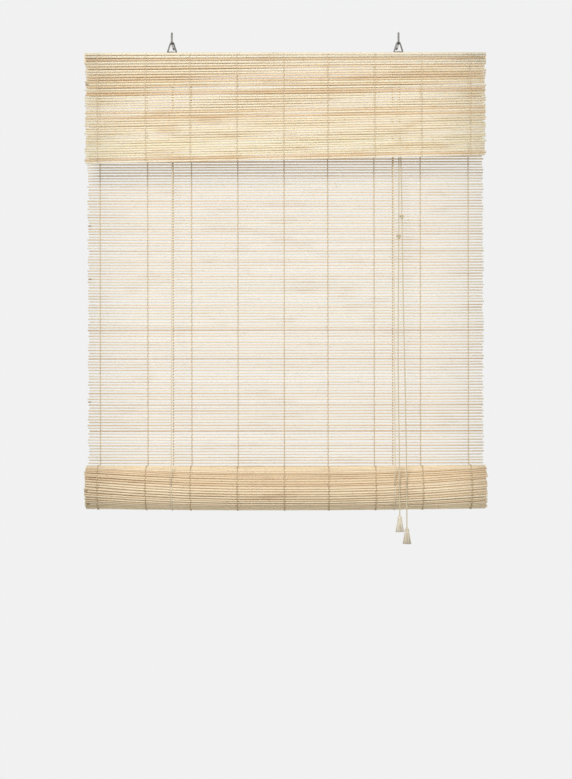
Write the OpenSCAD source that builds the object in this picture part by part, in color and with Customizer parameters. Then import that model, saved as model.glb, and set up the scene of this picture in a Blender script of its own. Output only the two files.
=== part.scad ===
// Reed roll-up blind, hung on two wall hooks by wire triangles.
// Millimetres. +Z is up, +Y points into the wall and the room is on the -Y side.
// The origin lies on the wall plane, midway between the two hook shanks.

/* [Blind] */
// Width of both reed mats and of the head rail
blind_w = 600; // [450:10:1000]
// Distance from the top of the head rail down to the axis of the roll
roll_drop = 650; // [520:10:900]
// Free space between the wall and the cords behind the mat
wall_gap = 1.1; // [0.5:0.1:5]

/* [Reeds] */
// Height of one reed, seen from the front
reed_w = 2.6; // [1.8:0.1:3.2]
// Thickness of one reed
reed_t = 2.6; // [2:0.1:3]
// Flat crest on the front and the back of a reed
reed_crest = 1.2; // [0.6:0.1:1.6]
// Pitch of the reeds in the hanging mat and in the roll
reed_pitch = 4.26; // [3.6:0.02:6]
// Thickness of the web that joins the reeds
web_t = 0.8; // [0.4:0.1:1.4]
// Width of the edge that the gaps between the reeds leave at each side
selvedge = 3; // [1:0.5:10]
// Most gaps that are cut through one mat
most_gaps = 120; // [20:1:120]

/* [Threads] */
// Number of warp threads across a mat
thread_count = 9; // [3:1:12]
// Distance of the outer warp threads from the edge of a mat
thread_margin = 20; // [8:1:40]
// Width of a warp thread
thread_w = 1.2; // [0.6:0.1:2]
// Thickness of a warp thread
thread_t = 0.45; // [0.2:0.05:0.45]

/* [Valance] */
// Height of the valance
valance_h = 158; // [80:1:200]
// Pitch of the reeds in the valance
valance_pitch = 3.95; // [3.6:0.05:6]

/* [Roll] */
// Diameter of the rolled-up mat
roll_d = 67; // [50:1:90]
// Distance between two turns of the roll
turn_pitch = 3.1; // [3.1:0.1:4]
// Diameter of the bar that the mat is rolled on
bar_d = 14; // [8:1:20]

/* [Head rail] */
// Depth of the head rail, from the mat to the valance
rail_d = 38; // [34:1:60]
// Height of the head rail
rail_h = 16; // [12:1:25]
// Chamfer along the edges of the head rail
rail_chamfer = 1.2; // [0.5:0.1:3]

/* [Hooks and hangers] */
// Distance between the two hooks
hook_spacing = 340; // [200:10:400]
// Diameter of the hook's rod
hook_d = 2.8; // [2:0.1:4]
// Length of the hook's shank inside the wall
hook_shank = 22; // [12:1:35]
// Diameter of the hook's shank, at the root of its thread
shank_d = 2.4; // [1.6:0.1:2.6]
// Distance from the wall to the middle of the upturned leg
hook_reach = 32; // [28:0.5:36]
// Height of the upturned leg above the shank's axis
hook_rise = 17; // [10:1:25]
// Bend radius of the hook, at the middle of the rod
hook_bend = 3; // [2.5:0.1:5]
// Diameter of the hanger's wire
hanger_d = 2.4; // [1.8:0.1:2.6]
// Width of the hanger's base, over its corner bends
hanger_w = 15; // [14:0.5:20]
// Distance from the hook's axis down to the hanger's base
hanger_drop = 13.2; // [11:0.2:20]
// Bend radius of the hanger's lower corners, at the middle of the wire
hanger_bend = 2; // [1.5:0.1:2.6]

/* [Hanger straps] */
// Thickness of the strap's sheet
strap_t = 1; // [0.6:0.1:1.2]
// Width of the strap
strap_w = 8; // [5:0.5:8]
// Length of the strap's tail, from the hanger's wire
strap_tail = 15; // [13:0.5:16]
// Diameter of the strap's nails
nail_d = 1.8; // [1.2:0.1:2.4]
// Distance between the two nails of a strap
nail_spacing = 7; // [5.5:0.5:8]

/* [Cords] */
// Diameter of the cords
cord_d = 1.6; // [1:0.1:1.8]
// Place of the left lift cord across the blind
lift_x_left = -170; // [-220:1:-150]
// Place of the right lift cord across the blind
lift_x_right = 162; // [150:1:162]
// Distance from the wall to the guide eyes and the cord lock
guide_y = 14; // [14:0.5:16]
// Inner radius of a guide eye
eye_r = 3; // [2.6:0.1:3.6]
// Diameter of a guide eye's wire
eye_d = 1.8; // [1.4:0.1:2.2]

/* [Cord lock] */
// Place of the lock's guide bar across the blind
lock_x = 169; // [168.5:0.5:170]
// Diameter of the lock's guide bar
lock_bar_d = 5; // [4:0.5:5]
// Inner width of the lock's frame
lock_inner = 8; // [7:0.5:9]
// Thickness of the lock's sheet
lock_t = 1; // [0.8:0.1:1.5]
// Diameter of the cam's pin
cam_pin_d = 2.4; // [1.6:0.1:3]
// Length of the cam's tail
cam_tail = 12; // [10:0.5:16]

/* [Tassels] */
// Height of a tassel
tassel_h = 24; // [20:0.5:30]
// Diameter of a tassel's head
tassel_head_d = 7; // [6.6:0.2:9]
// Diameter of a tassel's skirt at its lower end
tassel_skirt_d = 13; // [11:0.5:18]
// Thickness of the skirt at its lower end
tassel_wall = 2.5; // [1.5:0.1:3]
// Depth of the binding round a tassel's neck
tassel_bind = 0.5; // [0.2:0.1:0.7]

/* [Hidden] */
$fn = 48;
// Air between pieces that move past each other
clear = 0.3;
// Air around a wire that turns in a strap, and around a pin that turns in a bore
turn_clear = 0.06;
// Air around a fastener in its hole
fix_clear = 0.02;
// Air between a piece and what it rests on
seat = 0.05;

cord_r = cord_d / 2;
hook_r = hook_d / 2;
hanger_r = hanger_d / 2;
hook_x = hook_spacing / 2;

// Depths, from the wall towards the room
cord_back_y = -wall_gap - cord_r;
mat_back_y = -wall_gap - cord_d - clear;
mat_front_y = mat_back_y - reed_t;
rail_back_y = mat_front_y - thread_t;
rail_front_y = rail_back_y - rail_d;
guide_cy = -guide_y;

// Heights
strap_r = hanger_r + turn_clear + strap_t;
rail_top_z = -hanger_drop - strap_r;
rail_bottom_z = rail_top_z - rail_h;
rail_mid_z = rail_top_z - rail_h / 2;

// The hanger hangs on the straight stretch of the hook, close to its bend
hanger_y = -hook_reach + hook_bend + hanger_r + clear;

// Roll
roll_r = roll_d / 2;
roll_y = mat_back_y - roll_r;
roll_z = rail_top_z - roll_drop;
roll_r_out = roll_r - reed_t / 2;
roll_r_in = bar_d / 2 + clear + reed_t / 2;
// The slings lie round the outer turn's lower half.
// Its middle is a quarter of the turn pitch behind the axis.
sling_y = roll_y + turn_pitch / 4;
sling_r = roll_r - turn_pitch / 4 + clear + cord_r;

// Arc length along the spiral's middle line up to radius r, and the radius and angle at arc length s
function spiral_s(r) = PI * (r * r - roll_r_in * roll_r_in) / turn_pitch;
function spiral_r(s) = sqrt(roll_r_in * roll_r_in + turn_pitch * s / PI);
function spiral_a(s) = (spiral_r(s) - roll_r_out) * 360 / turn_pitch;
function spiral_point(s, rise) = (spiral_r(s) + rise) * [cos(spiral_a(s)), sin(spiral_a(s))];
rolled_len = spiral_s(roll_r_out);
rolled_reeds = floor(rolled_len / reed_pitch);
outer_turn_reeds = floor(2 * PI * (roll_r_out - turn_pitch / 2) / reed_pitch);
function rolled_s(k) = rolled_len - (k + 0.5) * reed_pitch;

// Half outline of one reed: place along the mat, and height over the mat's middle
reed_half = [[reed_w / 2, web_t / 2], [reed_crest / 2, reed_t / 2],
             [-reed_crest / 2, reed_t / 2], [-reed_w / 2, web_t / 2]];

// Mats
mat_len = roll_drop - clear;
mat_reeds = floor(mat_len / reed_pitch);
valance_reeds = round(valance_h / valance_pitch);
thread_step = (blind_w - 2 * thread_margin) / (thread_count - 1);
// The mat's threads stop above the roll, whose inner turn comes close there
thread_stop = 8;
mat_thread_len = mat_len - thread_stop;

// Guide eyes: a cord comes up beside the eye's lower wire and bends over it
eye_wire_r = eye_d / 2;
eye_ring_r = eye_r + eye_wire_r;
eye_neck = 1.5;
eye_shank = rail_h / 2;
eye_z = rail_bottom_z - eye_neck - eye_wire_r - eye_ring_r;
cord_bend = eye_wire_r + cord_r + 0.1;
eye_low_z = eye_z - eye_ring_r;
cross_z = eye_low_z + cord_bend;

// Cord lock: the cords pass over the bar and down between the bar and the cam
bar_r = lock_bar_d / 2;
bar_bend = bar_r + seat + cord_r;
bar_z = cross_z - bar_bend;
drop_x = lock_x + bar_bend;
cord_side = 1.5;
tooth_r = 6;
tooth_grow = 0.03;
teeth = 6;
tooth_depth = 0.5;
tooth_arc = 55;
cam_gap = 0.25;
cam_reach = tooth_r + 0.25 + cam_gap;
cam_x = drop_x + cord_r + cam_reach;
cam_z = bar_z + 2.8;
cam_hub_r = 3;
cam_pin_r = cam_pin_d / 2;
lock_len_left = 3.5;
lock_len_right = 5;
lock_h = 21;
lock_bottom_z = rail_bottom_z - lock_h;
lock_screw_d = 2.2;
lock_screw_len = rail_h / 2;

// Nails of the hanger straps, and how much deeper than a fastener its hole is
nail_len = 0.4 * rail_h;
hole_extra = 0.5;

// Tacks that hold the upper ends of the cords behind the mat
tack_d = 1.8;
tack_head_d = 6;
tack_head_t = 0.8;
tack_len = 6;
tack_z = rail_mid_z;

// Pull cords: routes from the cord lock to the front of the roll, where they hang free
pull_route_1 = [[172.4, -15.5, -52.6], [172.2, -16.2, -60], [171.6, -19.8, -100], [171, -23.5, -140],
                [170.6, -27.1, -180], [170.2, -30.8, -220], [169.8, -34.4, -260], [169.5, -37.2, -290],
                [169, -40.8, -330], [168.4, -44.5, -370], [167.9, -48.1, -410], [167.5, -51.8, -450],
                [167.4, -55.4, -490], [167.5, -59.1, -530], [167.8, -62.8, -570], [168.2, -66.6, -610],
                [168.4, -69.5, -640], [168.5, -70.6, -650], [168.5, -71.2, -660]];
pull_route_2 = [[172.4, -12.5, -52.6], [172.5, -13.2, -60], [172.8, -17.1, -100], [173.3, -21, -140],
                [173.9, -24.8, -180], [174.4, -28.7, -220], [174.7, -32.5, -260], [175, -36.4, -300],
                [175.3, -40.3, -340], [175.7, -44.1, -380], [176.2, -48, -420], [176.8, -51.9, -460],
                [177.4, -55.7, -500], [177.9, -59.6, -540], [178.3, -63.5, -580], [178.7, -67.4, -620],
                [178.9, -69.6, -642], [179, -70.6, -651], [179, -71.2, -660]];
pull_knot_1 = 7;
pull_knot_2 = 6;
knot_r = 2.3;
tassel_top_1 = -706;
tassel_top_2 = -724;
tassel_hole_r = cord_r + 0.2;
tassel_crown = 5;
tassel_bind_h = 1.6;
end_knot_r = 2;

reed_colour = [0.89, 0.80, 0.63];
thread_colour = [0.74, 0.63, 0.42];
wood_colour = [0.83, 0.70, 0.50];
steel_colour = [0.62, 0.60, 0.57];
cord_colour = [0.90, 0.87, 0.78];
tassel_colour = [0.86, 0.82, 0.73];

// Shared shapes

// Stands a drawing of the Y-Z plane upright and gives it a width along X, centred on x
module along_x(w, x = 0) {
    translate([x - w / 2, 0, 0]) rotate([90, 0, 90]) linear_extrude(w) children();
}

// Gives a drawing of the X-Z plane a thickness along Y, centred on y
module along_y(t, y) {
    translate([0, y + t / 2, 0]) rotate([90, 0, 0]) linear_extrude(t) children();
}

// Round bar between two points
module rod(a, b, r) {
    d = b - a;
    len = norm(d);
    translate(a) rotate([0, acos(d.z / len), atan2(d.y, d.x)]) cylinder(h = len, r = r);
}

// Round tube swept along a list of points, with its rings turned from one reference direction
module swept_tube(path, r, ref, sides = 8, closed = false) {
    count = len(path);
    last = count - 1;
    function at(i) = closed ? path[(i + count) % count] : path[max(0, min(i, last))];
    function unit(v) = v / norm(v);
    function ring(i) = let (t = unit(at(i + 1) - at(i - 1)), u = unit(cross(t, ref)), v = cross(t, u))
        [for (k = [0 : sides - 1]) path[i] + r * (cos(k * 360 / sides) * u + sin(k * 360 / sides) * v)];
    points = [for (i = [0 : last]) each ring(i)];
    walls = [for (i = [0 : closed ? last : last - 1], k = [0 : sides - 1])
        let (n = (k + 1) % sides, a = i * sides, b = ((i + 1) % count) * sides) [a + k, b + k, b + n, a + n]];
    start = [for (k = [0 : sides - 1]) k];
    end = [for (k = [sides - 1 : -1 : 0]) last * sides + k];
    polyhedron(points, closed ? walls : concat([start], walls, [end]));
}

// One wall of reeds hanging from top_z, ridged on both sides, with gaps cut between the lower reeds
module reed_wall(count, pitch, back_y, top_z) {
    mid_y = back_y - reed_t / 2;
    gap_h = pitch - reed_w;
    gaps = min(most_gaps, count - 1);
    function reed_z(i) = top_z - (i + 0.5) * pitch;
    front = [for (i = [0 : count - 1], p = reed_half) [mid_y - p.y, reed_z(i) + p.x]];
    back = [for (i = [count - 1 : -1 : 0], k = [3 : -1 : 0])
        [mid_y + reed_half[k].y, reed_z(i) + reed_half[k].x]];
    difference() {
        along_x(blind_w) polygon(concat(front, back));
        for (i = [count - 1 - gaps : count - 2])
            translate([-blind_w / 2 + selvedge, back_y - reed_t, reed_z(i) - reed_w / 2 - gap_h])
                cube([blind_w - 2 * selvedge, reed_t, gap_h]);
    }
}

// Places its children at every warp thread
module at_threads() {
    for (i = [0 : thread_count - 1])
        translate([-blind_w / 2 + thread_margin + i * thread_step, 0, 0]) children();
}

// Hooks and hangers

module hook(x) {
    straight = hook_reach - hook_bend;
    tip = 3;
    color(steel_colour) translate([x, 0, 0]) {
        rotate([90, 0, 0]) cylinder(h = straight, r = hook_r);
        translate([0, -1, 0]) rotate([-90, 0, 0]) cylinder(h = hook_shank - tip + 1, r = shank_d / 2);
        translate([0, hook_shank - tip, 0]) rotate([-90, 0, 0]) cylinder(h = tip, r1 = shank_d / 2, r2 = 0.3);
        translate([0, -straight, hook_bend]) rotate([90, 0, 90]) rotate([0, 0, 180])
            rotate_extrude(angle = 90) translate([hook_bend, 0]) circle(hook_r);
        translate([0, -hook_reach, hook_bend]) cylinder(h = hook_rise - hook_bend - hook_r, r = hook_r);
        translate([0, -hook_reach, hook_rise - hook_r]) sphere(hook_r);
    }
}

// Wire triangle: the apex bend lies round the hook's rod, the base turns in the strap
module hanger(x) {
    apex_bend = hook_r + seat + hanger_r;
    corner_x = hanger_w / 2 - hanger_r - hanger_bend;
    corner_z = -hanger_drop + hanger_bend;
    lean = atan2(corner_z, corner_x) + acos((apex_bend - hanger_bend) / norm([corner_x, corner_z]));
    steps = 6;
    function bend(cx, cz, r, a0, a1) = [for (i = [0 : steps]) let (a = a0 + (a1 - a0) * i / steps)
        [cx + r * cos(a), 0, cz + r * sin(a)]];
    loop = concat(bend(0, 0, apex_bend, lean, 180 - lean),
                  bend(-corner_x, corner_z, hanger_bend, 180 - lean, 270),
                  bend(corner_x, corner_z, hanger_bend, -90, lean));
    color(steel_colour) translate([x, hanger_y, 0]) swept_tube(loop, hanger_r, [0, 1, 0], 16, true);
}

// Head rail and what is fixed to it

function nail_y(k) = hanger_y - strap_tail + 3.5 + k * nail_spacing;

module at_nails() {
    for (x = [-hook_x, hook_x], k = [0, 1]) translate([x, nail_y(k), 0]) children();
}

module at_lock_screws() {
    for (x = [lock_x - 1, lock_x + 8]) translate([x, guide_cy, 0]) children();
}

module head_rail() {
    c = rail_chamfer;
    color(wood_colour) difference() {
        along_x(blind_w) polygon([
            [rail_back_y, rail_bottom_z + c], [rail_back_y, rail_top_z - c],
            [rail_back_y - c, rail_top_z], [rail_front_y + c, rail_top_z],
            [rail_front_y, rail_top_z - c], [rail_front_y, rail_bottom_z + c],
            [rail_front_y + c, rail_bottom_z], [rail_back_y - c, rail_bottom_z]]);
        at_nails() translate([0, 0, rail_top_z - nail_len - hole_extra])
            cylinder(h = nail_len + 1, r = nail_d / 2 + fix_clear);
        for (x = [lift_x_left, lift_x_right]) {
            translate([x + cord_bend, guide_cy, rail_bottom_z - 1])
                cylinder(h = eye_shank + hole_extra + 1, r = eye_wire_r + fix_clear);
            translate([x, rail_back_y + 1, tack_z]) rotate([90, 0, 0])
                cylinder(h = tack_len + hole_extra + 1, r = tack_d / 2 + fix_clear);
        }
        at_lock_screws() translate([0, 0, rail_bottom_z - 1])
            cylinder(h = lock_screw_len + hole_extra + 1, r = lock_screw_d / 2 + fix_clear);
    }
}

// Strap of folded sheet: it loops round the hanger's base, and its two layers lie on the head rail
module strap(x) {
    color(steel_colour) difference() {
        translate([x, hanger_y, -hanger_drop]) difference() {
            union() {
                translate([-strap_w / 2, 0, 0]) rotate([0, 90, 0]) cylinder(h = strap_w, r = strap_r);
                translate([-strap_w / 2, -strap_tail, -strap_r]) cube([strap_w, strap_tail, 2 * strap_t]);
            }
            translate([-strap_w, 0, 0]) rotate([0, 90, 0])
                cylinder(h = 2 * strap_w, r = hanger_r + turn_clear);
        }
        at_nails() translate([0, 0, rail_top_z - 1]) cylinder(h = 2 * strap_t + 2, r = nail_d / 2 + fix_clear);
    }
}

module strap_nails() {
    head_r = nail_d / 2 + 0.9;
    head_h = 0.7;
    top_z = rail_top_z + 2 * strap_t;
    color(steel_colour) at_nails() {
        translate([0, 0, rail_top_z - nail_len]) cylinder(h = nail_len + 2 * strap_t, r = nail_d / 2);
        translate([0, 0, top_z]) cylinder(h = head_h, r1 = head_r, r2 = head_r * 0.7);
    }
}

// Screw eye under the head rail that turns a lift cord sideways
module guide_eye(x) {
    color(steel_colour) translate([x + cord_bend, guide_cy, eye_z]) {
        rotate([0, 90, 0]) rotate_extrude() translate([eye_ring_r, 0]) circle(eye_wire_r);
        translate([0, 0, eye_ring_r]) cylinder(h = eye_wire_r + eye_neck + eye_shank, r = eye_wire_r);
    }
}

// Round-headed tacks through the top of the mat, which hold the looped ends of the back cords
module cord_tacks() {
    head_y = cord_back_y + cord_r + seat;
    color(steel_colour) for (x = [lift_x_left, lift_x_right]) translate([x, head_y, tack_z]) {
        rotate([90, 0, 0]) cylinder(h = head_y - rail_back_y + tack_len, r = tack_d / 2);
        rotate([-90, 0, 0]) cylinder(h = tack_head_t, r1 = tack_head_d / 2, r2 = tack_head_d / 2 - 0.6);
    }
}

// Mats

module valance() {
    color(reed_colour) reed_wall(valance_reeds, valance_pitch, rail_front_y, rail_top_z);
}

module valance_threads() {
    len = valance_reeds * valance_pitch;
    color(thread_colour) at_threads()
        translate([-thread_w / 2, rail_front_y - reed_t - thread_t, rail_top_z - len])
            cube([thread_w, thread_t, len]);
}

module reed_mat() {
    color(reed_colour) difference() {
        reed_wall(mat_reeds, reed_pitch, mat_back_y, rail_top_z);
        for (x = [lift_x_left, lift_x_right]) translate([x, 0, tack_z]) rotate([90, 0, 0])
            cylinder(h = -rail_back_y + 1, r = tack_d / 2 + seat);
    }
}

module mat_threads() {
    color(thread_colour) at_threads()
        translate([-thread_w / 2, rail_back_y, rail_top_z - mat_thread_len])
            cube([thread_w, thread_t, mat_thread_len]);
}

// Rolled-up end of the mat: one spiral band with the same reeds
module reed_roll() {
    outside = [for (k = [0 : rolled_reeds - 1], p = reed_half) spiral_point(rolled_s(k) + p.x, p.y)];
    inside = [for (k = [rolled_reeds - 1 : -1 : 0], i = [3 : -1 : 0])
        spiral_point(rolled_s(k) + reed_half[i].x, -reed_half[i].y)];
    color(reed_colour) translate([0, roll_y, roll_z]) along_x(blind_w) polygon(concat(outside, inside));
}

// Warp threads round the outer turn of the roll
module roll_threads() {
    low = reed_t / 2 + seat;
    high = reed_t / 2 + thread_t;
    ring = concat([for (k = [0 : outer_turn_reeds - 1]) spiral_point(rolled_s(k), high)],
                  [for (k = [outer_turn_reeds - 1 : -1 : 0]) spiral_point(rolled_s(k), low)]);
    color(thread_colour) at_threads() translate([0, roll_y, roll_z]) along_x(thread_w) polygon(ring);
}

module bottom_bar() {
    color(wood_colour) translate([-blind_w / 2, roll_y, roll_z]) rotate([0, 90, 0])
        cylinder(h = blind_w, r = bar_d / 2);
}

// Cord lock

module lock_frame() {
    left = lock_x - lock_len_left;
    right = cam_x + lock_len_right;
    outer = lock_inner + 2 * lock_t;
    corner = 4;
    color(steel_colour) difference() {
        along_y(outer, guide_cy) polygon([
            [left, rail_bottom_z], [left, lock_bottom_z + corner], [left + corner, lock_bottom_z],
            [right - corner, lock_bottom_z], [right, lock_bottom_z + corner], [right, rail_bottom_z]]);
        translate([left - 1, guide_cy - lock_inner / 2, lock_bottom_z - 1])
            cube([right - left + 2, lock_inner, lock_h + 1 - lock_t]);
        translate([lock_x, guide_cy + outer, bar_z]) rotate([90, 0, 0])
            cylinder(h = 2 * outer, r = bar_r + fix_clear);
        translate([cam_x, guide_cy + outer, cam_z]) rotate([90, 0, 0])
            cylinder(h = 2 * outer, r = cam_pin_r + fix_clear);
        at_lock_screws() translate([0, 0, rail_bottom_z - lock_t - 1])
            cylinder(h = lock_t + 2, r = lock_screw_d / 2 + fix_clear);
    }
}

// Pin across the lock's frame
module lock_pin(x, z, r) {
    len = lock_inner + 2 * lock_t + 1;
    color(steel_colour) translate([x, guide_cy + len / 2, z]) rotate([90, 0, 0]) cylinder(h = len, r = r);
}

// Toothed cam: its radius grows downwards, so a cord that is drawn up wedges it against the bar
module lock_cam() {
    function tooth_point(i) = let (a = 180 + i * tooth_arc / (2 * teeth), r = tooth_r + tooth_grow * (a - 180)
        - (i % 2 == 0 ? tooth_depth : 0)) r * [cos(a), sin(a)];
    face = [for (i = [0 : 2 * teeth]) tooth_point(i)];
    tail_h = 4.4;
    color(steel_colour) difference() {
        translate([cam_x, 0, cam_z]) along_y(lock_inner - 2 * clear, guide_cy) {
            polygon(concat(face, [[0, -cam_hub_r], [0, cam_hub_r]]));
            circle(cam_hub_r);
            polygon([[0, cam_hub_r], [0, cam_hub_r - tail_h], [cam_tail, cam_hub_r - tail_h - 1.5],
                     [cam_tail, cam_hub_r - 2.5]]);
        }
        translate([cam_x, 0, cam_z]) rotate([90, 0, 0]) cylinder(h = 2 * guide_y, r = cam_pin_r + turn_clear);
    }
}

module lock_screws() {
    head_r = lock_screw_d / 2 + 0.9;
    color(steel_colour) at_lock_screws() {
        translate([0, 0, rail_bottom_z - lock_t]) cylinder(h = lock_screw_len + lock_t, r = lock_screw_d / 2);
        translate([0, 0, rail_bottom_z - lock_t - 1.2]) cylinder(h = 1.2, r1 = head_r * 0.75, r2 = head_r);
    }
}

// Lift cords: tied behind the mat, down under the roll, up in front of it and over a guide eye

sling_sweep = let (to_eye = [guide_cy - sling_y, eye_low_z - roll_z])
    360 - atan2(to_eye.y, to_eye.x) - acos(sling_r / norm(to_eye));

function sling_front(x) = [x, sling_y + sling_r * cos(sling_sweep), roll_z - sling_r * sin(sling_sweep)];

module back_cord(x) {
    loop_r = tack_d / 2 + seat + cord_r;
    color(cord_colour) {
        rod([x, cord_back_y, roll_z + seat], [x, cord_back_y, tack_z - loop_r], cord_r);
        translate([x, cord_back_y, tack_z]) rotate([90, 0, 0])
            rotate_extrude() translate([loop_r, 0]) circle(cord_r);
    }
}

module sling(x) {
    color(cord_colour) translate([x, sling_y, roll_z]) rotate([90, 0, 90]) rotate([0, 0, -sling_sweep])
        rotate_extrude(angle = sling_sweep) translate([sling_r, 0]) circle(cord_r);
}

module front_cord(x) {
    low = sling_front(x);
    high = [x, guide_cy, eye_low_z];
    along = (high - low) / norm(high - low);
    color(cord_colour) rod(low + seat * along, high - 2 * seat * along, cord_r);
}

// Path of a lift cord over its guide eye, across to the lock and down past the bar
function cross_path(x, side, pass_z) = concat(
    [for (a = [180 : -30 : 90])
        [x + cord_bend + cord_bend * cos(a), guide_cy, eye_low_z + cord_bend * sin(a)]],
    [[lift_x_right + 2 * cord_bend + 0.5, guide_cy + side / 2, pass_z]],
    [for (a = [90 : -30 : 0]) [lock_x + bar_bend * cos(a), guide_cy + side, bar_z + bar_bend * sin(a)]],
    [[drop_x, guide_cy + side, lock_bottom_z - seat]]);

module cross_cord(x, side, pass_z) {
    color(cord_colour) swept_tube(cross_path(x, side, pass_z), cord_r, [0, 1, 0]);
}

// Pull cords with their tassels

module pull_cord(route, knot) {
    color(cord_colour) {
        swept_tube(route, cord_r, [1, 0, 0]);
        translate(route[knot]) sphere(knot_r, $fn = 16);
    }
}

// Free end of a pull cord in front of the roll, knotted inside its tassel
module hanging_cord(route, tassel_top) {
    low = route[len(route) - 1];
    knot_z = tassel_top - tassel_crown - end_knot_r - seat;
    color(cord_colour) {
        rod([low.x, low.y, knot_z], low - [0, 0, seat], cord_r);
        translate([low.x, low.y, knot_z]) sphere(end_knot_r);
    }
}

// Strand tassel: a rounded head over the cord's knot, a bound neck and a flared skirt
module tassel(route, tassel_top) {
    low = route[len(route) - 1];
    head_r = tassel_head_d / 2;
    neck_r = head_r - tassel_bind;
    skirt_r = tassel_skirt_d / 2;
    room_r = end_knot_r + clear;
    room_low = tassel_crown + 2 * end_knot_r + clear;
    bend = [for (a = [90 : -15 : 0]) [head_r - 1.5 + 1.5 * cos(a), -1.5 + 1.5 * sin(a)]];
    color(tassel_colour) translate([low.x, low.y, tassel_top]) rotate_extrude() polygon(concat(
        [[tassel_hole_r, 0]], bend,
        [[head_r, tassel_bind - tassel_crown], [neck_r, -tassel_crown],
         [neck_r, -tassel_crown - tassel_bind_h], [head_r, -tassel_crown - tassel_bind_h - tassel_bind],
         [skirt_r, -tassel_h + 0.8], [skirt_r - 0.5, -tassel_h], [skirt_r - tassel_wall, -tassel_h],
         [room_r, -room_low], [room_r, -tassel_crown], [tassel_hole_r, -tassel_crown]]));
}

hook(-hook_x);  // hook_left
hook(hook_x);  // hook_right
hanger(-hook_x);  // hanger_left
hanger(hook_x);  // hanger_right
head_rail();
strap(-hook_x);  // strap_left
strap(hook_x);  // strap_right
strap_nails();
valance();
valance_threads();
reed_mat();
mat_threads();
guide_eye(lift_x_left);  // guide_eye_left
guide_eye(lift_x_right);  // guide_eye_right
cord_tacks();
lock_frame();
lock_pin(lock_x, bar_z, bar_r);  // lock_bar
lock_pin(cam_x, cam_z, cam_pin_r);  // lock_cam_pin
lock_cam();
lock_screws();
back_cord(lift_x_left);  // back_cord_left
back_cord(lift_x_right);  // back_cord_right
front_cord(lift_x_left);  // front_cord_left
front_cord(lift_x_right);  // front_cord_right
cross_cord(lift_x_left, -cord_side, cross_z + cord_d + 0.2);  // cross_cord_left
cross_cord(lift_x_right, cord_side, cross_z);  // cross_cord_right
sling(lift_x_left);  // sling_left
sling(lift_x_right);  // sling_right
reed_roll();
roll_threads();
bottom_bar();
pull_cord(pull_route_1, pull_knot_1);  // pull_cord_1
pull_cord(pull_route_2, pull_knot_2);  // pull_cord_2
hanging_cord(pull_route_1, tassel_top_1);  // hanging_cord_1
hanging_cord(pull_route_2, tassel_top_2);  // hanging_cord_2
tassel(pull_route_1, tassel_top_1);  // tassel_1
tassel(pull_route_2, tassel_top_2);  // tassel_2
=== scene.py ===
import math
import random

import bmesh
import bpy
from mathutils import Matrix, Vector


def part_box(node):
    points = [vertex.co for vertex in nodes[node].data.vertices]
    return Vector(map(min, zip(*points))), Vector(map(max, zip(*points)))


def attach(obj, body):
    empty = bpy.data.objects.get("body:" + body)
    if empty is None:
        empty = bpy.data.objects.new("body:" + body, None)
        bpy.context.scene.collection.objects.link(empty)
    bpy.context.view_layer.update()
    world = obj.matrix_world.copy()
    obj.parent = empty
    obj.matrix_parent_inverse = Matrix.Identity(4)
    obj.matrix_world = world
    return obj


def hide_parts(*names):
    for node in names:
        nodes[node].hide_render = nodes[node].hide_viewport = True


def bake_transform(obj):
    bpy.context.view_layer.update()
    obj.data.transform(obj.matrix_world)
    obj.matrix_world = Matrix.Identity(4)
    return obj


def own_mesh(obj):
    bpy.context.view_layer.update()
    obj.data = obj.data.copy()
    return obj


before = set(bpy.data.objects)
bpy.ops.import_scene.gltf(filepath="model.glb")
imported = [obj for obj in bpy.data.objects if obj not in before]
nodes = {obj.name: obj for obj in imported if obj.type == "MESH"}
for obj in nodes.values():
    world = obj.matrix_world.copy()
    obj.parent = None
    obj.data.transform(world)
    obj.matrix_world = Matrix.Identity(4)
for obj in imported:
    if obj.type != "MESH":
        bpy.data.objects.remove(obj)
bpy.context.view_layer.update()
mm = 0.001
print("frame loaded:", len(nodes), "nodes")


# Shader helpers

class Wire:
    # one output socket; sums and products of wires add Math nodes
    def __init__(self, graph, socket):
        self.graph = graph
        self.socket = socket

    def calc(self, operation, first, second):
        return self.graph.node("ShaderNodeMath", {"operation": operation}, {0: first, 1: second})

    def __add__(self, other):
        return self.calc("ADD", self, other)

    def __sub__(self, other):
        return self.calc("SUBTRACT", self, other)

    def __rsub__(self, other):
        return self.calc("SUBTRACT", other, self)

    def __mul__(self, other):
        return self.calc("MULTIPLY", self, other)

    def __mod__(self, other):
        return self.calc("FLOORED_MODULO", self, other)

    def __lt__(self, other):
        return self.calc("LESS_THAN", self, other)

    def __gt__(self, other):
        return self.calc("GREATER_THAN", self, other)

    __radd__ = __add__
    __rmul__ = __mul__

    def sine(self):
        return self.calc("SINE", self, 0.0)

    def larger(self, other):
        return self.calc("MAXIMUM", self, other)


class Graph:
    # the nodes of a material or of the world
    def __init__(self, tree):
        self.tree = tree

    def feed(self, socket, value):
        if isinstance(value, Wire):
            self.tree.links.new(value.socket, socket)
        else:
            socket.default_value = value

    def node(self, kind, settings=None, inputs=None, out=0):
        made = self.tree.nodes.new(kind)
        for key, value in (settings or {}).items():
            if key == "stops":
                while len(made.color_ramp.elements) < len(value):
                    made.color_ramp.elements.new(0.5)
                for element, (place, colour) in zip(made.color_ramp.elements, value):
                    element.position = place
                    element.color = (*colour, 1)
            else:
                setattr(made, key, value)
        for key, value in (inputs or {}).items():
            self.feed(made.inputs[key], value)
        return Wire(self, made.outputs[out]) if made.outputs else None


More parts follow.
